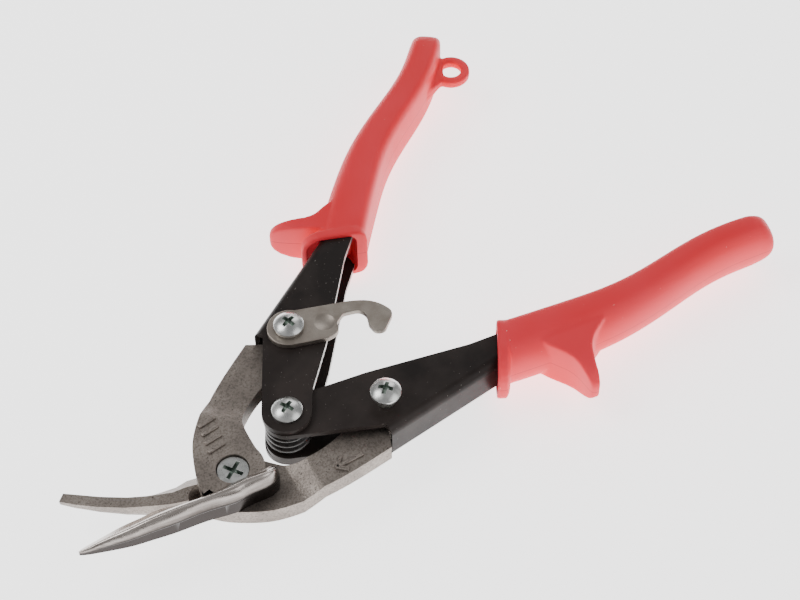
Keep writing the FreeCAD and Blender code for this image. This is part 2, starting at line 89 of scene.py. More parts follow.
class Body(str, Enum):
    """The moving bodies of the linkage."""

    RIGHT_HANDLE = "right_handle"
    LEFT_HANDLE = "left_handle"
    FRONT_BLADE = "front_blade"
    REAR_BLADE = "rear_blade"
    LATCH = "latch"


class Element(Enum):
    """What Bench.select picks out of a mesh."""

    EDGE = "EDGE"
    FACE = "FACE"


# --- shader expressions ---------------------------------------------------------------
class Sock:
    """A shader socket whose arithmetic adds Math nodes to its tree."""

    def __init__(self, tree: "Tree", socket: bpy.types.NodeSocket) -> None:
        """Wraps one output socket of a tree."""
        self.tree = tree
        self.socket = socket

    def _math(self, operation: str, first: object, second: object = 0.0) -> "Sock":
        """Adds one Math node and returns its value."""
        return self.tree.node("ShaderNodeMath", {"operation": operation}, {0: first, 1: second})

    def __add__(self, other: object) -> "Sock":
        """self + other."""
        return self._math("ADD", self, other)

    __radd__ = __add__

    def __sub__(self, other: object) -> "Sock":
        """self - other."""
        return self._math("SUBTRACT", self, other)

    def __rsub__(self, other: object) -> "Sock":
        """other - self."""
        return self._math("SUBTRACT", other, self)

    def __mul__(self, other: object) -> "Sock":
        """self * other."""
        return self._math("MULTIPLY", self, other)

    __rmul__ = __mul__

    def __abs__(self) -> "Sock":
        """Absolute value."""
        return self._math("ABSOLUTE", self)

    def ramp(self, low: float, high: float) -> "Sock":
        """0 at low, 1 at high, straight and clamped between them."""
        return self.tree.node("ShaderNodeMapRange", {"clamp": True},
                              {"Value": self, "From Min": low, "From Max": high})


class Tree:
    """The node tree of one material, with a Principled shader on its output."""

    MIX_SHARE, MIX_FIRST, MIX_SECOND, MIX_RESULT = 0, 6, 7, 2

    def __init__(self, name: str) -> None:
        """Makes an empty material of that name."""
        self.material = bpy.data.materials.new(name)
        self.material.use_nodes = True
        self.nodes = self.material.node_tree.nodes
        self.links = self.material.node_tree.links
        self.nodes.clear()
        self.shader = self.nodes.new("ShaderNodeBsdfPrincipled")
        output = self.nodes.new("ShaderNodeOutputMaterial")
        self.links.new(self.shader.outputs["BSDF"], output.inputs["Surface"])

    def node(self, kind: str, settings: Optional[dict] = None, inputs: Optional[dict] = None,
             output: Union[int, str] = 0) -> Sock:
        """Adds a node.

        Args:
            kind: The node's type.
            settings: Its own properties, set first.
            inputs: Values or sockets, by input name or number.
            output: Which output to return.

        Returns:
            The chosen output as an expression.
        """
        made = self.nodes.new(kind)
        for key, value in (settings or {}).items():
            setattr(made, key, value)
        for key, value in (inputs or {}).items():
            self.put(made.inputs[key], value)
        return Sock(self, made.outputs[output])

    def put(self, socket: bpy.types.NodeSocket, value: object) -> None:
        """Gives an input its value.

        Args:
            socket: The input.
            value: An expression to link, or a plain value, three numbers for a colour.
        """
        if isinstance(value, Sock):
            self.links.new(value.socket, socket)
        elif isinstance(value, tuple) and len(value) == 3 and socket.type == "RGBA":
            socket.default_value = (*value, 1.0)
        else:
            socket.default_value = value

    def set(self, **values: object) -> None:
        """Sets the shader's inputs.

        Args:
            values: Values or expressions, by input name in lower case with underscores.
        """
        for key, value in values.items():
            name = key.replace("_", " ").title().replace("Ior", "IOR")
            self.put(self.shader.inputs[name], value)

    def place(self, scale: Point = (1, 1, 1), turn: float = 0.0) -> Sock:
        """Object coordinates, turned about Z and then stretched along their axes.

        Args:
            scale: Factor along each turned axis.
            turn: Turn about Z in degrees.

        Returns:
            The coordinates.
        """
        where = self.node("ShaderNodeTexCoord", output="Object")
        turned = self.node("ShaderNodeMapping", inputs={"Vector": where,
                                                        "Rotation": (0, 0, math.radians(turn))})
        return self.node("ShaderNodeMapping", inputs={"Vector": turned, "Scale": scale})

    def noise(self, per_mm: float, detail: float = 3.0, scale: Point = (1, 1, 1),
              turn: float = 0.0) -> Sock:
        """Noise of a number of waves per millimetre, stretched if a scale is given."""
        return self.node("ShaderNodeTexNoise", {},
                         {"Vector": self.place(scale, turn), "Scale": per_mm / MM, "Detail": detail})

    def mix(self, share: object, first: object, second: object) -> Sock:
        """The first colour where the share is 0, the second where it is 1."""
        return self.node("ShaderNodeMix", {"data_type": "RGBA"},
                         {self.MIX_SHARE: share, self.MIX_FIRST: first, self.MIX_SECOND: second},
                         self.MIX_RESULT)

    def axis(self, index: int) -> Sock:
        """One Object coordinate in millimetres: 0 is X, 1 is Y, 2 is Z."""
        split = self.node("ShaderNodeSeparateXYZ", {}, {"Vector": self.place()}, output=index)
        return split * (1 / MM)

    def upward(self) -> Sock:
        """How far the surface faces up the piece's own Z, from -1 to 1."""
        normal = self.node("ShaderNodeTexCoord", output="Normal")
        return self.node("ShaderNodeSeparateXYZ", {}, {"Vector": normal}, output=2)

    def bump(self, height: Sock, depth_mm: float, strength: float = 1.0) -> Sock:
        """Normal of a surface raised by a height from 0 to 1 times a depth."""
        return self.node("ShaderNodeBump", {},
                         {"Height": height, "Distance": depth_mm * MM, "Strength": strength})


# --- finishes -------------------------------------------------------------------------
@dataclass(frozen=True)
class Finish:
    """A finish of the tool: its colours and measures, and the nodes that they go into."""

    name: str

    def dress(self, tree: Tree) -> None:
        """Adds the nodes of this finish to the tree of its material."""
        raise NotImplementedError

    def make(self) -> bpy.types.Material:
        """Builds the material.

        Returns:
            The finished material.
        """
        tree = Tree(self.name)
        self.dress(tree)
        return tree.material


@dataclass(frozen=True)
class SoftPlastic(Finish):
    """Coral moulded grip: satin skin, a parting line round the middle, a few pale specks."""

    name: str = "coral_soft_plastic"
    colour: Point = (1.0, 0.052, 0.074)
    deep: Point = (0.95, 0.036, 0.050)
    seam: Point = (0.48, 0.012, 0.014)
    speck: Point = (0.95, 0.50, 0.46)
    line_half: float = 0.13

    def dress(self, tree: Tree) -> None:
        """Adds the nodes."""
        cloud = tree.noise(0.03, detail=2.0).ramp(0.35, 0.65)
        specks = tree.noise(1.1, detail=1.0).ramp(0.80, 0.84)
        line = abs(tree.axis(2)).ramp(0.0, self.line_half)
        skin = tree.mix(cloud, self.deep, self.colour)
        skin = tree.mix(line, self.seam, skin)
        grain = tree.noise(3.2, detail=4.0)
        tree.set(base_color=tree.mix(specks, skin, self.speck),
                 roughness=tree.noise(0.25) * 0.12 + 0.40,
                 normal=tree.bump(grain * 0.25 + line, depth_mm=0.04, strength=0.6),
                 specular_ior_level=0.22, subsurface_weight=0.10,
                 subsurface_radius=(1.0, 0.25, 0.18), subsurface_scale=0.002)


@dataclass(frozen=True)
class BlackOxide(Finish):
    """Brown-black channel sheet with fine grain and grey dust."""

    name: str = "black_oxide"
    colour: Point = (0.016, 0.012, 0.011)
    worn: Point = (0.040, 0.031, 0.028)
    dust: Point = (0.24, 0.22, 0.20)

    def dress(self, tree: Tree) -> None:
        """Adds the nodes."""
        cloud = tree.noise(0.06, detail=4.0).ramp(0.38, 0.66)
        specks = tree.noise(2.2, detail=0.0).ramp(0.825, 0.85)
        rubs = tree.noise(0.5, scale=(1, 0.12, 1), turn=41).ramp(0.70, 0.80) * 0.35
        skin = tree.mix(cloud, self.colour, self.worn)
        skin = tree.mix(rubs, skin, self.worn)
        tree.set(base_color=tree.mix(specks * 0.7, skin, self.dust),
                 metallic=0.0, specular_ior_level=0.2,
                 roughness=tree.noise(0.35, detail=4.0) * 0.22 + 0.28,
                 normal=tree.bump(tree.noise(4.0), depth_mm=0.018, strength=0.5))


@dataclass(frozen=True)
class BareEdge(Finish):
    """Sheared sheet edge, bright where the black finish was cut through."""

    name: str = "bare_sheet_edge"
    colour: Point = (0.52, 0.50, 0.48)
    dark: Point = (0.16, 0.14, 0.13)

    def dress(self, tree: Tree) -> None:
        """Adds the nodes."""
        tears = tree.noise(1.8, scale=(1, 1, 0.3)).ramp(0.35, 0.6)
        tree.set(base_color=tree.mix(tears, self.dark, self.colour), metallic=0.85,
                 roughness=tears * -0.15 + 0.45, normal=tree.bump(tears, depth_mm=0.02, strength=0.5))


@dataclass(frozen=True)
class BlastedForging(Finish):
    """Taupe forging, shot blasted: close grain, small pits and soft darker clouds."""

    name: str = "blasted_forging"
    light: Point = (0.40, 0.35, 0.31)
    dark: Point = (0.25, 0.215, 0.19)
    pit: Point = (0.06, 0.05, 0.045)

    def dress(self, tree: Tree) -> None:
        """Adds the nodes."""
        grain = tree.noise(2.4, detail=5.0)
        cloud = tree.noise(0.12).ramp(0.35, 0.68)
        pits = tree.noise(1.3, detail=1.0).ramp(0.31, 0.25)
        skin = tree.mix(cloud, self.dark, self.light)
        mottle = tree.noise(1.5, detail=2.0).ramp(0.46, 0.62)
        skin = tree.mix(grain.ramp(0.40, 0.60) * 0.55, skin, self.dark)
        skin = tree.mix(mottle * 0.35, skin, self.pit)
        tree.set(base_color=tree.mix(pits * 0.8, skin, self.pit), metallic=0.9,
                 roughness=grain * 0.22 + 0.34,
                 normal=tree.bump(grain - pits * 0.6, depth_mm=0.11, strength=0.85))


@dataclass(frozen=True)
class GroundJaw(Finish):
    """Ground and buffed jaw rib: soft streaks along its length, with painted shade darkening the
    faces that turn down its flanks.
    """

    name: str = "ground_jaw"
    light: Point = (0.74, 0.675, 0.63)
    dark: Point = (0.50, 0.445, 0.41)
    # Colour of the painted shade on the flanks.
    flank_painted_shade: Point = (0.030, 0.024, 0.022)
    along: float = 27.0
    shine: float = 0.17

    def dress(self, tree: Tree) -> None:
        """Adds the nodes."""
        streaks = tree.noise(1.6, detail=4.0, scale=(0.06, 1, 1), turn=self.along)
        fine = tree.noise(5.0, detail=2.0, scale=(0.03, 1, 1), turn=self.along)
        cloud = tree.noise(0.14, scale=(0.4, 1, 1), turn=self.along).ramp(0.35, 0.65)
        skin = tree.mix(streaks.ramp(0.34, 0.66), self.dark, self.light)
        skin = tree.mix(cloud * 0.35, skin, self.dark)
        # Painted shade: the base colour goes from the streaked skin on up-facing faces to the
        # near-black flank colour on faces turned sideways and down.
        level = tree.upward() + streaks * 0.12
        tree.set(base_color=tree.mix(level.ramp(0.10, 0.85), self.flank_painted_shade, skin), metallic=1.0,
                 roughness=streaks * 0.12 + self.shine + fine * 0.05,
                 normal=tree.bump(streaks * 0.6 + fine * 0.4, depth_mm=0.014, strength=0.45))


@dataclass(frozen=True)
class GroundFace(Finish):
    """Flat shear face, matt ground across its length."""

    name: str = "ground_face"
    light: Point = (0.36, 0.31, 0.265)
    dark: Point = (0.24, 0.20, 0.175)
    along: float = -40.0

    def dress(self, tree: Tree) -> None:
        """Adds the nodes."""
        lines = tree.noise(3.4, scale=(1, 0.10, 1), turn=self.along)
        cloud = tree.noise(0.2).ramp(0.35, 0.65)
        skin = tree.mix(lines.ramp(0.36, 0.64), self.dark, self.light)
        tree.set(base_color=tree.mix(cloud * 0.3, skin, self.dark), metallic=0.9,
                 roughness=lines * 0.2 + 0.36, normal=tree.bump(lines, depth_mm=0.03, strength=0.6))


@dataclass(frozen=True)
class ZincPlate(Finish):
    """Bright zinc plate, faintly clouded and scuffed."""

    name: str = "zinc_plate"
    light: Point = (0.80, 0.80, 0.78)
    dark: Point = (0.56, 0.57, 0.56)
    roughness: float = 0.20

    def dress(self, tree: Tree) -> None:
        """Adds the nodes."""
        cloud = tree.noise(0.35, detail=4.0).ramp(0.36, 0.66)
        scuff = tree.noise(1.6, scale=(1, 0.15, 1), turn=30)
        tree.set(base_color=tree.mix(cloud, self.dark, self.light), metallic=1.0,
                 roughness=cloud * 0.08 + scuff * 0.10 + self.roughness,
                 normal=tree.bump(scuff, depth_mm=0.012, strength=0.5))


@dataclass(frozen=True)
class StampedSteel(Finish):
    """Tumbled stamping with a fine salt-and-pepper grain."""

    name: str = "stamped_steel"
    light: Point = (0.42, 0.375, 0.33)
    dark: Point = (0.30, 0.26, 0.225)

    def dress(self, tree: Tree) -> None:
        """Adds the nodes."""
        grain = tree.noise(3.4, detail=4.0)
        cloud = tree.noise(0.2).ramp(0.35, 0.65)
        skin = tree.mix(cloud, self.dark, self.light)
        tree.set(base_color=tree.mix(grain.ramp(0.42, 0.6) * 0.4, skin, self.dark), metallic=0.9,
                 roughness=grain * 0.2 + 0.32, normal=tree.bump(grain, depth_mm=0.03, strength=0.6))


@dataclass(frozen=True)
class OiledWire(Finish):
    """Black drawn spring wire with an oily shine."""

    name: str = "oiled_wire"
    dark: Point = (0.012, 0.010, 0.010)
    light: Point = (0.034, 0.029, 0.028)

    def dress(self, tree: Tree) -> None:
        """Adds the nodes."""
        cloud = tree.noise(0.6, detail=4.0).ramp(0.36, 0.66)
        tree.set(base_color=tree.mix(cloud, self.dark, self.light), specular_ior_level=0.32,
                 roughness=cloud * 0.12 + 0.24,
                 normal=tree.bump(tree.noise(2.0), depth_mm=0.012, strength=0.4))


class Finishes:
    """Every finish of the tool, made once."""

    def __init__(self) -> None:
        """Builds the materials."""
        self.grip = SoftPlastic().make()
        self.black = BlackOxide().make()
        self.edge = BareEdge().make()
        self.forging = BlastedForging().make()
        self.rib = GroundJaw().make()
        self.face = GroundFace().make()
        self.zinc = ZincPlate().make()
        # The driver recesses get a darker, greenish zinc: the green tint is the plating's own, the
        # darkening is painted shade.
        self.recess = ZincPlate("zinc_recess_tint_and_painted_shade", (0.46, 0.52, 0.47), (0.20, 0.25, 0.22), 0.30).make()
        self.nut = ZincPlate("zinc_nut", (0.66, 0.66, 0.62), (0.42, 0.42, 0.38), 0.28).make()
        self.stamped = StampedSteel().make()
        self.wire = OiledWire().make()


# --- bench work -------------------------------------------------------------------------
class Bench:
    """Modelling moves shared by the sub-assemblies."""

    WELD = 1e-6  # metres within which a made piece's doubles merge
    CAD_WELD = 2e-6  # and a CAD node's
    COPLANAR = 0.6  # degrees within which a CAD node's triangles make one face
    CREASE = 40  # degrees past which a softened piece keeps a hard edge

    @staticmethod
    def clear() -> None:
        """Leaves object mode with nothing selected."""
        if bpy.context.object and bpy.context.object.mode != "OBJECT":
            bpy.ops.object.mode_set(mode="OBJECT")
        bpy.ops.object.select_all(action="DESELECT")

    @staticmethod
    def pick(obj: bpy.types.Object) -> None:
        """Makes one object the only selected and active one."""
        Bench.clear()
        obj.select_set(True)
        bpy.context.view_layer.objects.active = obj

    @staticmethod
    def start(add: Callable, name: str, **settings: object) -> bpy.types.Object:
        """Adds a primitive with an operator and names it.

        Args:
            add: The primitive's operator.
            name: Name of the new object.
            settings: The operator's settings.

        Returns:
            The new object.
        """
        Bench.clear()
        add(**settings)
        made = bpy.context.object
        made.name = name
        made.data.name = name
        return made

    @staticmethod
    def select(obj: bpy.types.Object, element: Element, test: Test) -> None:
        """Selects faces or edges in edit mode by their place.

        Args:
            obj: The object to edit.
            element: Faces or edges.
            test: Given an element's centre and its normal or direction, says whether to take it.
        """
        if obj.mode != "EDIT":
            Bench.pick(obj)
            bpy.ops.object.mode_set(mode="EDIT")
        bpy.ops.mesh.select_mode(type=element.value)
        bpy.ops.mesh.select_all(action="DESELECT")
        mesh = bmesh.from_edit_mesh(obj.data)
        if element is Element.FACE:
            found = [f for f in mesh.faces if test(f.calc_center_median(), f.normal)]
        else:
            found = [e for e in mesh.edges if test((e.verts[0].co + e.verts[1].co) / 2,
                                                   e.verts[1].co - e.verts[0].co)]
        for item in found:
            item.select_set(True)
        mesh.select_flush_mode()
        bmesh.update_edit_mesh(obj.data)

    @staticmethod
    def modify(obj: bpy.types.Object, kind: str, **settings: object) -> None:
        """Adds a modifier and applies it.

        Args:
            obj: The piece.
            kind: The modifier's type.
            settings: Its settings.
        """
        Bench.pick(obj)
        made = obj.modifiers.new(kind.lower(), kind)
        for key, value in settings.items():
            setattr(made, key, value)
        bpy.ops.object.modifier_apply(modifier=made.name)

    @staticmethod
    def cut(obj: bpy.types.Object, tool: bpy.types.Object) -> None:
        """Takes a tool's volume out of a piece and removes the tool."""
        Bench.modify(obj, "BOOLEAN", object=tool, operation="DIFFERENCE", solver="EXACT")
        bpy.data.objects.remove(tool, do_unlink=True)

    @staticmethod
    def join(first: bpy.types.Object, others: Iterable[bpy.types.Object]) -> None:
        """Joins pieces into the first one.

        Args:
            first: The piece that stays.
            others: The pieces that it takes in.
        """
        Bench.pick(first)
        for other in others:
            other.select_set(True)
        bpy.ops.object.join()

    @staticmethod
    def settle(obj: bpy.types.Object) -> None:
        """Applies the object's place to its mesh and turns its faces outwards."""
        Bench.pick(obj)
        bpy.ops.object.transform_apply(location=True, rotation=True, scale=True)
        bpy.ops.object.mode_set(mode="EDIT")
        Bench.close_up()

    @staticmethod
    def close_up() -> None:
        """Merges the edited piece's doubles, turns its faces outwards and leaves edit mode."""
        bpy.ops.mesh.select_all(action="SELECT")
        bpy.ops.mesh.remove_doubles(threshold=Bench.WELD)
        bpy.ops.mesh.normals_make_consistent(inside=False)
        bpy.ops.object.mode_set(mode="OBJECT")

    @staticmethod
    def copy_node(node: str, name: str) -> bpy.types.Object:
        """Copies a CAD node's mesh into a new piece with no parent, and merges it.

        Args:
            node: The node's name.
            name: The piece's name.

        Returns:
            The piece.
        """
        made = bpy.data.objects.new(name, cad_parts[node].data.copy())
        bpy.context.scene.collection.objects.link(made)
        made.data.name = name
        made.data.materials.clear()
        Bench.pick(made)
        bpy.ops.object.mode_set(mode="EDIT")
        bpy.ops.mesh.select_all(action="SELECT")
        bpy.ops.mesh.remove_doubles(threshold=Bench.CAD_WELD)
        bpy.ops.mesh.dissolve_limited(angle_limit=math.radians(Bench.COPLANAR))
        bpy.ops.object.mode_set(mode="OBJECT")
        if made.data.has_custom_normals:
            bpy.ops.mesh.customdata_custom_splitnormals_clear()
        return made

    @staticmethod
    def soften(obj: bpy.types.Object, width: float, angle: float = 38, segments: int = 2) -> None:
        """Rounds a piece's sharp edges.

        Args:
            obj: The piece.
            width: How far the rounding reaches from each edge, in millimetres.
            angle: Degrees past which an edge counts as sharp.
            segments: Facets on each rounding.
        """
        Bench.modify(obj, "BEVEL", width=width * MM, segments=segments, limit_method="ANGLE",
                     angle_limit=math.radians(angle), use_clamp_overlap=True,
                     miter_outer="MITER_ARC")
        Bench.smooth(obj, Bench.CREASE)
        Bench.modify(obj, "WEIGHTED_NORMAL", keep_sharp=True, weight=100)

    @staticmethod
    def smooth(obj: bpy.types.Object, angle: float) -> None:
        """Shades a piece smooth except across edges sharper than an angle."""
        Bench.pick(obj)
        bpy.ops.object.shade_smooth_by_angle(angle=math.radians(angle))

    @staticmethod
    def paint(obj: bpy.types.Object, base: bpy.types.Material,
              zones: Sequence[tuple[bpy.types.Material, Test]] = ()) -> None:
        """Gives a piece its materials.

        Args:
            obj: The piece.
            base: The material of every face that no zone takes.
            zones: Materials, each with the test for its faces, in millimetres.
        """
        obj.data.materials.clear()
        obj.data.materials.append(base)
        for index, (material, test) in enumerate(zones, start=1):
            obj.data.materials.append(material)
            for polygon in obj.data.polygons:
                if test(polygon.center / MM, polygon.normal):
                    polygon.material_index = index

    @staticmethod
    def fit(obj: bpy.types.Object, body: Body, slot: str, *nodes: str) -> None:
        """Rides a piece on its body and reports it.

        Args:
            obj: The piece.
            body: The body that it moves with.
            slot: The name of its material slot; not used.
            nodes: The CAD nodes that it replaces.
        """
        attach(obj, body.value)
        if nodes:
            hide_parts(*nodes)
        log.info("%s: %d faces, on %s", obj.name, len(obj.data.polygons), body.value)


@dataclass
class Ring:
    """One cross-section of a lofted solid, in the handle's own frame, in millimetres."""

    u: float
    v: float
    width: float
    half: float
    angle: float


@dataclass
class HandleFrame:
    """The frame of one handle: origin on the handle pivot, u towards the tang pivot."""

    side: Side
    pivot_x: float = 23.8144
    angle: float = 40.862

    def inverse(self, place: Vector) -> Pair:
        """Takes a point into the handle's frame.

        Args:
            place: A point of the tool's frame, in millimetres.

        Returns:
            Its u and v.
        """
        c, s = math.cos(math.radians(self.angle)), math.sin(math.radians(self.angle))
        x, y = place.x - self.pivot_x, place.y * self.side.value
        return x * c + y * s, y * c - x * s

    def carry(self, obj: bpy.types.Object) -> None:
        """Moves a piece modelled in the left handle's frame to this handle."""
        flip = Matrix.Diagonal((1, self.side.value, 1, 1))
        place = Matrix.Translation((self.pivot_x * MM, 0, 0))
        obj.matrix_world = flip @ place @ Matrix.Rotation(math.radians(self.angle), 4, "Z")
        Bench.settle(obj)


class Loft:
    """A rounded bar shaped from a cube: drawn out ring by ring, then bent ring by ring."""

    LENGTHWISE = 0.9  # share of a long edge that runs along X
    OUTERMOST = 0.49  # share of the width past which an edge is on a side
    NUDGE = 1e-6  # smallest length, and smallest turn, that counts

    def __init__(self, name: str, rings: Sequence[Ring], corner: float, segments: int = 3,
                 inner: Optional[float] = None) -> None:
        """Draws the bar out.

        Args:
            name: Name of the piece.
            rings: Its cross-sections in order.
            corner: Radius of the long edges, in millimetres.
            segments: Facets on each long edge.
            inner: Radius of the two long edges at low Y, where it differs.
        """
        self.rings = list(rings)
        first = self.rings[0]
        self.obj = Bench.start(bpy.ops.mesh.primitive_cube_add, name, size=1,
                               location=(0, 0, 0),
                               scale=(0.5 * MM, first.width * MM, 2 * first.half * MM))
        bpy.ops.object.transform_apply(location=False, rotation=False, scale=True)
        side = self.OUTERMOST * first.width * MM
        for radius, sign in ((corner, 1), (corner if inner is None else inner, -1)):
            Bench.select(self.obj, Element.EDGE,
                         lambda c, d: abs(d.x) > self.LENGTHWISE * d.length and c.y * sign > side)
            bpy.ops.mesh.bevel(offset=radius * MM, segments=segments, affect="EDGES")
        self._draw_out()
        self._bend()
        bpy.ops.object.mode_set(mode="OBJECT")

    def _end(self) -> float:
        """How far along X the bar reaches."""
        return max(v.co.x for v in bmesh.from_edit_mesh(self.obj.data).verts)

    def _draw_out(self) -> None:
        """Extrudes the end once for each ring, a millimetre at a time, and sizes it."""
        previous = self.rings[0]
        for ring in self.rings[1:]:
            end = self._end()
            Bench.select(self.obj, Element.FACE, lambda c, n: c.x > end - self.NUDGE)
            bpy.ops.mesh.extrude_region_move(TRANSFORM_OT_translate={"value": (MM, 0, 0)})
            size = (1, ring.width / previous.width, ring.half / previous.half)
            bpy.ops.transform.resize(value=size, center_override=(end + MM, 0, 0))
            previous = ring

    def _bend(self) -> None:
        """Turns each ring and carries it to its place."""
        mesh = bmesh.from_edit_mesh(self.obj.data)
        mesh.verts.index_update()
        low, *places = sorted({round(v.co.x / MM, 3) for v in mesh.verts})
        groups = [[low, places[0]]] + [[x] for x in places[1:]]
        members = [[v.index for v in mesh.verts if round(v.co.x / MM, 3) in group]
                   for group in groups]
        for ring, group, indices in zip(self.rings, groups, members):
            self._take(indices)
            centre = (group[-1] * MM, 0, 0)
            if abs(ring.angle) > self.NUDGE:
                bpy.ops.transform.rotate(value=-math.radians(ring.angle), orient_axis="Z",
                                         center_override=centre)
            bpy.ops.transform.translate(value=(ring.u * MM - centre[0], ring.v * MM, 0))

    def _take(self, chosen: Iterable[int]) -> None:
        """Selects vertices.

        Args:
            chosen: Their indices.
        """
        bpy.ops.mesh.select_mode(type="VERT")
        bpy.ops.mesh.select_all(action="DESELECT")
        mesh = bmesh.from_edit_mesh(self.obj.data)
        mesh.verts.ensure_lookup_table()
        for index in chosen:
            mesh.verts[index].select_set(True)
        mesh.select_flush_mode()
        bmesh.update_edit_mesh(self.obj.data)


# --- grips --------------------------------------------------------------------------------
# The thumb guards from root to tip: u, v, width along the grip and half height.
LEFT_GUARD: Sequence[Section] = (
    (76.4, -16.0, 15.0, 9.0), (75.2, -11.4, 11.2, 8.9), (74.0, -8.2, 6.6, 8.7),
    (73.6, -4.6, 4.6, 8.5), (73.6, 0.6, 4.0, 7.9), (73.8, 4.4, 3.6, 6.4),
    (74.0, 6.8, 3.0, 4.4), (74.1, 7.9, 2.0, 2.4),
)
RIGHT_GUARD: Sequence[Section] = (
    (88.4, -18.5, 25.0, 9.0), (88.6, -14.0, 18.6, 8.9), (89.8, -10.4, 11.0, 8.7),
    (91.0, -7.0, 6.6, 8.3), (92.0, -3.4, 4.8, 7.4), (92.8, -0.2, 3.9, 5.8),
    (93.3, 1.8, 3.0, 4.0), (93.5, 2.7, 1.9, 2.2),
)


@dataclass
class Grip:
    """One moulded grip: swept body, thumb guard, flared mouth and, on the left, a hang loop.

    Places are in the handle's frame and lengths in millimetres. A station is u, v, width and half
    height. A mouth section is how far in it lies from the mouth's face, and the walls that it leaves
    on the guard's side, on the other side, and above and below.
    """

    side: Side
    finishes: Finishes
    guard: Sequence[Section]
    stretch: float
    turn: float
    corner: float
    inner_corner: float = 3.8
    guard_corner: float = 1.0
    voxel: float = 0.42
    smoothings: int = 10
    smoothed_off: Pair = (0.28, 0.25)
    stations: Sequence[Section] = (
        (68.6, -14.7, 15.6, 10.2), (77.0, -16.9, 14.8, 10.2), (91.0, -20.1, 14.2, 10.1),
        (102.0, -23.0, 13.2, 10.0), (112.0, -27.0, 12.2, 9.8), (122.0, -32.3, 11.6, 9.6),
        (132.0, -37.9, 11.2, 9.5), (142.0, -42.0, 11.0, 9.4), (152.0, -44.4, 10.8, 9.2),
        (158.4, -45.35, 10.4, 8.9),
    )
    dome: Sequence[Point] = (
        (6.0, 1.0, 0.98), (4.4, 0.99, 0.93), (3.0, 0.97, 0.84), (1.7, 0.92, 0.70),
        (0.7, 0.81, 0.52), (0.3, 0.65, 0.36),
    )
    mouth_outer: Pair = (64.6, -2.8)
    mouth_inner: Pair = (67.9, -23.9)
    mouth_half: float = 10.4
    body_start: Section = (0.8, 4.4, 0.5, 0.4)
    rim: Sequence[Section] = ((0.0, 0.0, 0.0, 0.0), (2.5, 0.1, 0.1, 0.1), (3.4, 1.9, 1.9, 1.9))
    rim_corners: Pair = (0.6, 4.2)
    pocket: Sequence[Section] = (
        (-2.0, 1.3, 3.3, 1.3), (0.3, 1.6, 3.5, 1.4), (1.6, 5.8, 4.2, 2.4), (4.6, 6.6, 4.8, 3.2),
    )
    pocket_corners: Pair = (-0.8, 3.2)
    mouth_facets: int = 6
    loop_centre: Pair = (147.5, -53.1)
    loop_middle: float = 4.95
    loop_section: Pair = (3.1, 3.2)
    loop_corner: float = 0.5
    loop_steps: int = 48
    web: Sequence[Section] = (
        (0.0, 3.2, 11.4, 1.6), (0.0, 4.4, 13.6, 1.65), (0.0, 5.8, 17.6, 1.9),
        (-0.2, 8.0, 22.5, 2.6), (-0.4, 10.5, 25.0, 3.4),
    )
    web_corner: float = 0.6

    @staticmethod
    def _follow(line: Sequence[Section]) -> list[Ring]:
        """Sets a ring at each station of a line, square to the way between its neighbours.

        Args:
            line: The stations in order.

        Returns:
            The rings.
        """
        rings = []
        for i, (u, v, width, half) in enumerate(line):
            a, b = line[max(i - 1, 0)], line[min(i + 1, len(line) - 1)]
            rings.append(Ring(u, v, width, half, math.degrees(math.atan2(b[1] - a[1], b[0] - a[0]))))
        return rings

    def _mouth_rings(self, sections: Sequence[Section]) -> list[Ring]:
        """Sets rings parallel to the mouth's face.

        Args:
            sections: The mouth sections in order.

        Returns:
            The rings.
        """
        (outer_u, outer_v), (inner_u, inner_v) = self.mouth_outer, self.mouth_inner
        across_u, across_v = outer_u - inner_u, outer_v - inner_v
        length = math.hypot(across_u, across_v)
        along_u, along_v = across_v / length, -across_u / length
        angle = math.degrees(math.atan2(along_v, along_u))
        rings = []
        for start, outer, inner, lid in sections:
            shift = (inner - outer) / 2 / length
            rings.append(Ring((outer_u + inner_u) / 2 + along_u * start + across_u * shift,
                              (outer_v + inner_v) / 2 + along_v * start + across_v * shift,
                              length - outer - inner, self.mouth_half - lid, angle))
        return rings

    def _body(self) -> bpy.types.Object:
        """Sweeps the bar along this grip's own line and domes its end.

        Returns:
            The bar.
        """
        u0, v0 = self.stations[0][:2]
        scale = 1 + self.stretch / (self.stations[-1][0] - u0)
        c, s = math.cos(math.radians(self.turn)), math.sin(math.radians(self.turn))
        line = []
        for u, v, width, half in self.stations:
            along, across = (u - u0) * scale, v - v0
            line.append((u0 + along * c - across * s, v0 + along * s + across * c,
                         width + self.smoothed_off[0], half + self.smoothed_off[1]))
        rings = self._mouth_rings([self.body_start]) + self._follow(line)[1:]
        last = rings.pop()
        c, s = math.cos(math.radians(last.angle)), math.sin(math.radians(last.angle))
        for back, narrow, flat in self.dome:
            rings.append(Ring(last.u - back * c, last.v - back * s,
                              last.width * narrow, last.half * flat, last.angle))
        return Loft("grip_body", rings, self.corner, 4, self.inner_corner).obj

    def _mouthpiece(self, name: str, sections: Sequence[Section], corners: Pair) -> bpy.types.Object:
        """Lofts the flared band round the mouth, or the hollow inside it.

        Args:
            name: Name of the piece.
            sections: Its mouth sections.
            corners: What its guard-side corners add to the body's, and its other corners' radius.

        Returns:
            The piece.
        """
        rings = self._mouth_rings(sections)
        return Loft(name, rings, self.corner + corners[0], self.mouth_facets, corners[1]).obj

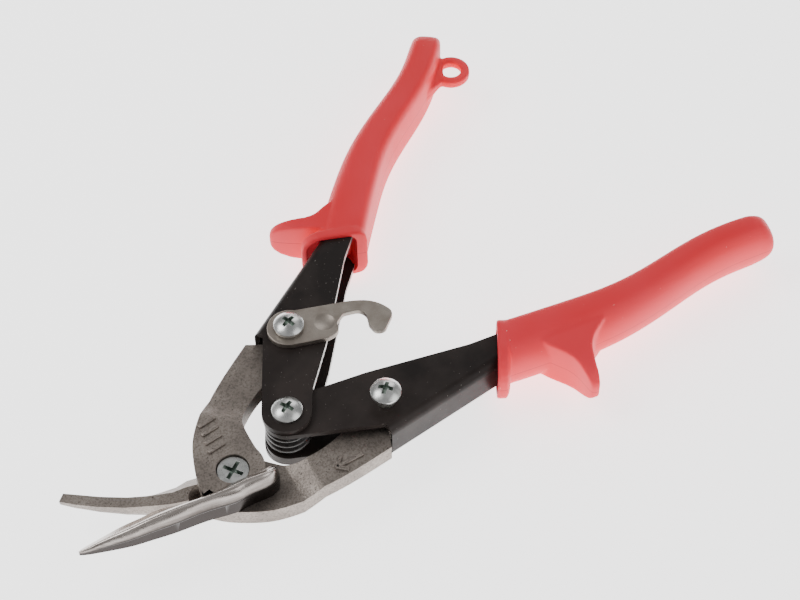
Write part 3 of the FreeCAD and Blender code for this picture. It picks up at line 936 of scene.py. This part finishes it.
    def _loop(self) -> list[bpy.types.Object]:
        """Spins the hang loop from its own section and lofts the web that it stands on.

        Returns:
            The loop and its web.
        """
        u, v = self.loop_centre
        middle = ((u + self.loop_middle) * MM, v * MM, 0)
        loop = Bench.start(bpy.ops.mesh.primitive_plane_add, "grip_loop", size=MM,
                           location=middle, rotation=(math.pi / 2, 0, 0))
        bpy.ops.object.transform_apply(location=True, rotation=True, scale=True)
        bpy.ops.object.mode_set(mode="EDIT")
        bpy.ops.mesh.select_all(action="SELECT")
        band, thickness = self.loop_section
        bpy.ops.transform.resize(value=(band, 1, thickness), center_override=middle)
        bpy.ops.mesh.bevel(offset=self.loop_corner * MM, segments=2, affect="VERTICES")
        bpy.ops.mesh.select_all(action="SELECT")
        bpy.ops.mesh.delete(type="ONLY_FACE")
        bpy.ops.mesh.select_all(action="SELECT")
        bpy.ops.mesh.spin(steps=self.loop_steps, angle=2 * math.pi, center=(u * MM, v * MM, 0),
                          axis=(0, 0, 1))
        Bench.close_up()
        rings = [Ring(u + du, v + dv, width, half, 90) for du, dv, width, half in self.web]
        return [loop, Loft("grip_web", rings, self.web_corner, 2).obj]

    def build(self) -> None:
        """Joins the parts into one moulding and fits it over its channel."""
        hand = self.side.name.lower()
        body = self._body()
        Bench.modify(body, "SUBSURF", levels=2, render_levels=2)
        guard = Loft("grip_guard", self._follow(self.guard), self.guard_corner).obj
        Bench.modify(guard, "SUBSURF", levels=2, render_levels=2)
        others = [guard, self._mouthpiece("grip_rim", self.rim, self.rim_corners)]
        if self.side is Side.LEFT:
            others += self._loop()
        Bench.join(body, others)
        Bench.modify(body, "REMESH", mode="VOXEL", voxel_size=self.voxel * MM)
        Bench.modify(body, "SMOOTH", factor=0.5, iterations=self.smoothings)
        Bench.cut(body, self._mouthpiece("grip_pocket", self.pocket, self.pocket_corners))
        body.name = f"{hand}_grip_moulding"
        body.data.name = body.name
        HandleFrame(self.side).carry(body)
        Bench.smooth(body, 50)
        Bench.paint(body, self.finishes.grip)
        owner = Body.LEFT_HANDLE if self.side is Side.LEFT else Body.RIGHT_HANDLE
        loop = ["hang_loop"] if self.side is Side.LEFT else []
        Bench.fit(body, owner, "grip_red", f"{hand}_grip", *loop)


# --- metalwork ------------------------------------------------------------------------------
@dataclass
class Channels:
    """The two folded handles, with bare sheared edges along their open side."""

    finishes: Finishes
    edge_round: float = 0.22
    boss_reach: float = 5.0
    open_side: float = -5.5
    sheet: float = 1.9
    facing: float = 0.5

    def build(self) -> None:
        """Softens both channels and shows their bare edges."""
        for side, owner in ((Side.LEFT, Body.LEFT_HANDLE), (Side.RIGHT, Body.RIGHT_HANDLE)):
            node = f"{side.name.lower()}_channel"
            piece = Bench.copy_node(node, f"{node}_folded")
            Bench.soften(piece, self.edge_round)
            handle = HandleFrame(side)
            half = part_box(node)[1].z / MM

            def bare(centre: Vector, normal: Vector) -> bool:
                """Whether a face is part of the sheared edge facing the other hand."""
                u, v = handle.inverse(centre)
                across = handle.inverse(normal + Vector((handle.pivot_x, 0, 0)))[1]
                return (u > self.boss_reach and v < self.open_side and across < -self.facing
                        and abs(normal.z) < UPRIGHT and abs(centre.z) > half - self.sheet)

            Bench.paint(piece, self.finishes.black, [(self.finishes.edge, bare)])
            Bench.fit(piece, owner, "channel_black", node)


@dataclass
class Blades:
    """The two forgings: blasted tangs, a ground front rib and a ground rear face."""

    finishes: Finishes
    edge_round: float = 0.45
    edge_start: float = -0.35
    edge_slope: float = -0.44
    edge_band: float = 3.2
    rib_root: float = 9.8
    rib_foot: float = 6.45
    rib_heel: float = -11.0
    face_root: float = -7.5
    face_foot: float = -0.6
    level: float = 0.9

    def build(self) -> None:
        """Softens both blades and grinds their jaws."""
        front = Bench.copy_node("front_blade", "front_blade_forged")
        Bench.soften(front, self.edge_round)

        def rib(centre: Vector, normal: Vector) -> bool:
            """Whether a face is on the front jaw, outside the cutting edge's line."""
            beyond = centre.y < self.edge_start + self.edge_slope * centre.x - self.edge_band
            high = centre.z > self.rib_foot
            return centre.x < self.rib_root and (beyond or high or centre.x < self.rib_heel)

        Bench.paint(front, self.finishes.forging, [(self.finishes.rib, rib)])
        Bench.fit(front, Body.FRONT_BLADE, "forged_steel", "front_blade")

        rear = Bench.copy_node("rear_blade", "rear_blade_forged")
        Bench.soften(rear, self.edge_round)

        def face(centre: Vector, normal: Vector) -> bool:
            """Whether a face is on the rear jaw's flat shear face."""
            flat = normal.z > self.level and centre.z > self.face_foot
            return flat and centre.x < self.face_root

        Bench.paint(rear, self.finishes.forging, [(self.finishes.face, face)])
        Bench.fit(rear, Body.REAR_BLADE, "forged_steel", "rear_blade")


@dataclass
class TangMarks:
    """Plain raised marks on the tangs: slanted ribs in front, a direction arrow behind."""

    finishes: Finishes
    rib_line: tuple[Pair, Pair] = ((6.9, 17.0), (2.1, 8.6))
    rib_count: int = 4
    rib_size: Point = (5.8, 1.5, 1.2)
    rib_turn: float = -12.0
    arrow_root: Pair = (21.0, -21.6)
    arrow_turn: float = -18.0
    arrow_size: Point = (9.0, 1.4, 1.2)
    barb_size: Point = (4.2, 1.4, 1.2)
    barb_place: Pair = (1.3, 1.2)
    barb_turn: float = 42.0
    edge_round: float = 0.3
    front_top: float = 6.2
    rear_top: float = 3.0
    proud: float = 0.6

    def _bar(self, name: str, place: Point, size: Point, turn: float) -> bpy.types.Object:
        """A raised bar with rounded edges.

        Args:
            name: Its name.
            place: Centre in millimetres, at the height of the tang's face.
            size: Length, width and height.
            turn: Its direction in degrees.

        Returns:
            The bar.
        """
        x, y, z = place
        bar = Bench.start(bpy.ops.mesh.primitive_cube_add, name, size=MM,
                          location=(x * MM, y * MM, (z + self.proud - size[2] / 2) * MM),
                          rotation=(0, 0, math.radians(turn)))
        bar.scale = size
        Bench.settle(bar)
        return bar

    def _round(self, piece: bpy.types.Object, name: str, body: Body) -> None:
        """Rounds and paints marks, and fits them to their blade.

        Args:
            piece: The marks.
            name: Their name.
            body: The blade.
        """
        piece.name = name
        piece.data.name = name
        Bench.modify(piece, "BEVEL", width=self.edge_round * MM, segments=3, limit_method="ANGLE",
                     angle_limit=math.radians(40), use_clamp_overlap=True)
        Bench.smooth(piece, 50)
        Bench.paint(piece, self.finishes.forging)
        Bench.fit(piece, body, "forged_steel")

    def build(self) -> None:
        """Raises the marks."""
        (x0, y0), (x1, y1) = self.rib_line
        ribs = []
        for i in range(self.rib_count):
            share = i / (self.rib_count - 1)
            place = (x0 + (x1 - x0) * share, y0 + (y1 - y0) * share, self.front_top)
            ribs.append(self._bar("rib", place, self.rib_size, self.rib_turn))
        Bench.join(ribs[0], ribs[1:])
        self._round(ribs[0], "front_tang_ribs", Body.FRONT_BLADE)

        turn = math.radians(self.arrow_turn)
        along = Vector((math.cos(turn), math.sin(turn), 0))
        across = Vector((-along.y, along.x, 0))
        root = Vector((*self.arrow_root, self.rear_top))
        middle = root + along * self.arrow_size[0] / 2
        shaft = self._bar("shaft", tuple(middle), self.arrow_size, self.arrow_turn)
        barbs = []
        for sign in (1, -1):
            middle = root + along * self.barb_place[0] + across * sign * self.barb_place[1]
            turn = self.arrow_turn + sign * self.barb_turn
            barbs.append(self._bar("barb", tuple(middle), self.barb_size, turn))
        Bench.join(shaft, barbs)
        self._round(shaft, "rear_tang_arrow", Body.REAR_BLADE)


@dataclass
class Hardware:
    """Screws, nuts, washers, the catch collar, the bush and the tang spacers."""

    finishes: Finishes
    screws: Sequence[tuple[str, Body]] = (
        ("handle_pivot_screw", Body.LEFT_HANDLE), ("latch_screw", Body.LEFT_HANDLE),
        ("catch_screw", Body.RIGHT_HANDLE), ("blade_pivot_screw", Body.FRONT_BLADE))
    pan_reach: float = 2.9
    deep_reach: float = 3.6
    wall_depth: float = 2.4
    floor_depths: Pair = (0.75, 2.6)
    nuts: Sequence[tuple[str, Body]] = (
        ("handle_pivot_nut", Body.LEFT_HANDLE), ("latch_nut", Body.LEFT_HANDLE),
        ("catch_nut", Body.RIGHT_HANDLE), ("blade_pivot_nut", Body.FRONT_BLADE),
        ("catch_collar", Body.RIGHT_HANDLE), ("latch_washer", Body.LEFT_HANDLE),
        ("blade_pivot_washer", Body.FRONT_BLADE))
    screw_round: float = 0.12
    nut_round: float = 0.15
    sharp: float = 32.0

    def build(self) -> None:
        """Softens each fastener and plates it."""
        for node, owner in self.screws:
            piece = Bench.copy_node(node, f"{node}_plated")
            low, high = (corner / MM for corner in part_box(node))
            middle = (low + high) / 2
            reach = self.deep_reach if node == "blade_pivot_screw" else self.pan_reach
            Bench.soften(piece, self.screw_round, self.sharp)

            def sunk(centre: Vector, normal: Vector) -> bool:
                """Whether a face is a wall or the floor of the driver recess."""
                near = math.hypot(centre.x - middle.x, centre.y - middle.y) < reach
                wall = abs(normal.z) < UPRIGHT and centre.z > high.z - self.wall_depth
                shallow, deep = self.floor_depths
                return near and (wall or high.z - deep < centre.z < high.z - shallow)

            # Recess faces take the darker zinc, which paints shade in the driver recess.
            Bench.paint(piece, self.finishes.zinc, [(self.finishes.recess, sunk)])
            Bench.fit(piece, owner, "zinc_screw", node)
        for node, owner in self.nuts:
            piece = Bench.copy_node(node, f"{node}_plated")
            Bench.soften(piece, self.nut_round, self.sharp)
            Bench.paint(piece, self.finishes.nut)
            Bench.fit(piece, owner, "zinc_nut", node)
        for node in ("spring_bush", "left_tang_spacers", "right_tang_spacers"):
            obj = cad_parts[node]
            obj.data.materials.clear()
            obj.data.materials.append(self.finishes.nut)


@dataclass
class Latch:
    """The stamped hook with its dimple."""

    finishes: Finishes
    edge_round: float = 0.3
    sharp: float = 32.0

    def build(self) -> None:
        """Rolls the stamping's edges."""
        piece = Bench.copy_node("latch", "latch_hook")
        Bench.soften(piece, self.edge_round, self.sharp, 3)
        Bench.paint(piece, self.finishes.stamped)
        Bench.fit(piece, Body.LATCH, "stamped_steel", "latch")


@dataclass
class ReturnSpring:
    """A real torsion spring: close turns round the bush and a leg inside each handle."""

    finishes: Finishes
    wire: float = 1.36
    radius: float = 5.8
    pitch: float = 2.75
    whole_turns: int = 2
    leg: float = 21.0
    leg_steps: int = 4
    steps_per_turn: int = 48
    wire_facets: int = 14

    def build(self) -> None:
        """Winds the spring round the bush between the handles and hides the CAD spring."""
        handle = HandleFrame(Side.LEFT)
        sweep = 360 * self.whole_turns + 180 + 2 * handle.angle
        rise = self.pitch * sweep / 360
        spring = self._wind(handle, sweep, rise)
        Bench.settle(spring)
        Bench.smooth(spring, 60)
        Bench.paint(spring, self.finishes.wire)
        handle.pivot_x * MM
        -rise / 2 * MM
        handle.pivot_x * MM
        rise / 2 * MM
        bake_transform(spring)
        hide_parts("return_spring")
        log.info("%s: %d faces, between the handles", spring.name, len(spring.data.polygons))

    def _wind(self, handle: HandleFrame, sweep: float, rise: float) -> bpy.types.Object:
        """Draws one leg from a disc of wire, spins it up the bush and draws the other leg.

        Args:
            handle: The left handle's frame.
            sweep: Whole turn of the coil in degrees.
            rise: Its height in millimetres.

        Returns:
            The spring.
        """
        angle = math.radians(handle.angle)
        outwards = Vector((math.cos(angle), -math.sin(angle), 0))
        x = handle.pivot_x
        root = Vector((x + self.radius * math.sin(angle), self.radius * math.cos(angle), -rise / 2))
        spring = Bench.start(bpy.ops.mesh.primitive_circle_add, "return_spring_wire",
                             vertices=self.wire_facets, radius=self.wire * MM, fill_type="NGON",
                             location=(root + outwards * self.leg) * MM,
                             rotation=(math.pi / 2, 0, math.pi / 2 - angle))
        bpy.ops.object.transform_apply(location=True, rotation=True, scale=True)
        bpy.ops.object.mode_set(mode="EDIT")
        bpy.ops.mesh.select_all(action="SELECT")
        self._draw(-outwards)
        count = int(self.steps_per_turn * sweep / 360)
        for _ in range(count):
            bpy.ops.mesh.extrude_region_move(
                TRANSFORM_OT_translate={"value": (0, 0, rise / count * MM)})
            bpy.ops.transform.rotate(value=-math.radians(sweep) / count, orient_axis="Z",
                                     center_override=(x * MM, 0, 0))
        self._draw(Vector((outwards.x, -outwards.y, 0)))
        bpy.ops.object.mode_set(mode="OBJECT")
        return spring

    def _draw(self, along: Vector) -> None:
        """Extrudes the wire's end straight for the length of a leg.

        Args:
            along: The leg's direction.
        """
        step = along * self.leg / self.leg_steps * MM
        for _ in range(self.leg_steps):
            bpy.ops.mesh.extrude_region_move(TRANSFORM_OT_translate={"value": step})


# --- studio ---------------------------------------------------------------------------------
@dataclass
class Studio:
    """Pale floor, soft lights and the camera."""

    target: Point = (82.2, 5.75, 0.0)
    back: Point = (-0.466, -0.402, 0.788)
    right: Point = (0.653, -0.757, 0.0)
    up: Point = (0.597, 0.515, 0.615)
    roll: float = -1.0
    distance: float = 590.0
    lens: float = 84.4
    sensor: float = 36.0
    floor_size: float = 6.0
    floor_grey: float = 0.93
    floor_glow: float = 2.3
    sky: float = 0.36
    lamps: Sequence[tuple[str, Point, float, float]] = (
        ("key", (-0.25, 0.45, 0.70), 0.45, 2.6),
        ("fill", (0.25, -0.65, 0.5), 0.6, 1.5),
        ("rim", (0.75, 0.35, 0.45), 0.5, 1.2),
    )

    def camera(self) -> None:
        """Places the camera at the studio's viewing angle."""
        data = bpy.data.cameras.new("camera")
        data.lens = self.lens
        data.sensor_width = self.sensor
        data.clip_start = 0.01
        camera = bpy.data.objects.new("camera", data)
        bpy.context.scene.collection.objects.link(camera)
        roll = math.radians(self.roll)
        right, up, back = Vector(self.right), Vector(self.up), Vector(self.back)
        x_axis = right * math.cos(roll) + up * math.sin(roll)
        y_axis = up * math.cos(roll) - right * math.sin(roll)
        place = (Vector(self.target) + back * self.distance) * MM
        matrix = Matrix((x_axis, y_axis, back)).transposed().to_4x4()
        matrix.translation = place
        camera.matrix_world = matrix
        bpy.context.scene.camera = camera

    def floor(self, height: float) -> None:
        """Lays the wide pale floor.

        Args:
            height: Its height in metres.
        """
        plane = Bench.start(bpy.ops.mesh.primitive_plane_add, "floor", size=self.floor_size,
                            location=(0, 0, height))
        tree = Tree("pale_floor")
        tree.set(base_color=(self.floor_grey,) * 3, roughness=0.9,
                 emission_color=(1.0, 1.0, 1.0), emission_strength=self.floor_glow)
        plane.data.materials.append(tree.material)
        plane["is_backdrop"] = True

    def light(self, name: str, place: Point, size: float, power: float) -> None:
        """Hangs a square softbox aimed at the tool.

        Args:
            name: Its name.
            place: Its place in metres.
            size: Its side in metres.
            power: Its power in watts.
        """
        data = bpy.data.lights.new(name, "AREA")
        data.size = size
        data.energy = power
        lamp = bpy.data.objects.new(name, data)
        bpy.context.scene.collection.objects.link(lamp)
        lamp.location = place
        aim = Vector(self.target) * MM - Vector(place)
        lamp.rotation_euler = aim.to_track_quat("-Z", "Y").to_euler()

    def build(self, height: float) -> None:
        """Sets the studio up.

        Args:
            height: The floor's height in metres.
        """
        self.camera()
        self.floor(height)
        for name, place, size, power in self.lamps:
            self.light(name, place, size, power)
        world = bpy.data.worlds.new("studio")
        bpy.context.scene.world = world
        world.use_nodes = True
        background = world.node_tree.nodes["Background"]
        background.inputs["Color"].default_value = (1.0, 1.0, 1.0, 1.0)
        background.inputs["Strength"].default_value = self.sky


def corners(bounds: tuple[Vector, Vector]) -> list[list[float]]:
    """A box as plain lists of numbers."""
    return [list(corner) for corner in bounds]


def main() -> None:
    """Builds the tool's looks in order."""
    logging.basicConfig(level=logging.INFO, format="%(name)s: %(message)s")
    cad_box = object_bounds()
    Bench.clear()
    finishes = Finishes()
    Blades(finishes).build()
    TangMarks(finishes).build()
    Channels(finishes).build()
    Hardware(finishes).build()
    Latch(finishes).build()
    ReturnSpring(finishes).build()
    Grip(Side.LEFT, finishes, LEFT_GUARD, stretch=2.2, turn=0.15, corner=6.3).build()
    Grip(Side.RIGHT, finishes, RIGHT_GUARD, stretch=4.4, turn=-1.4, corner=8.4).build()
    Studio().build(cad_box[0].z - FLOOR_GAP)
    Bench.clear()


if __name__ == "__main__":
    main()
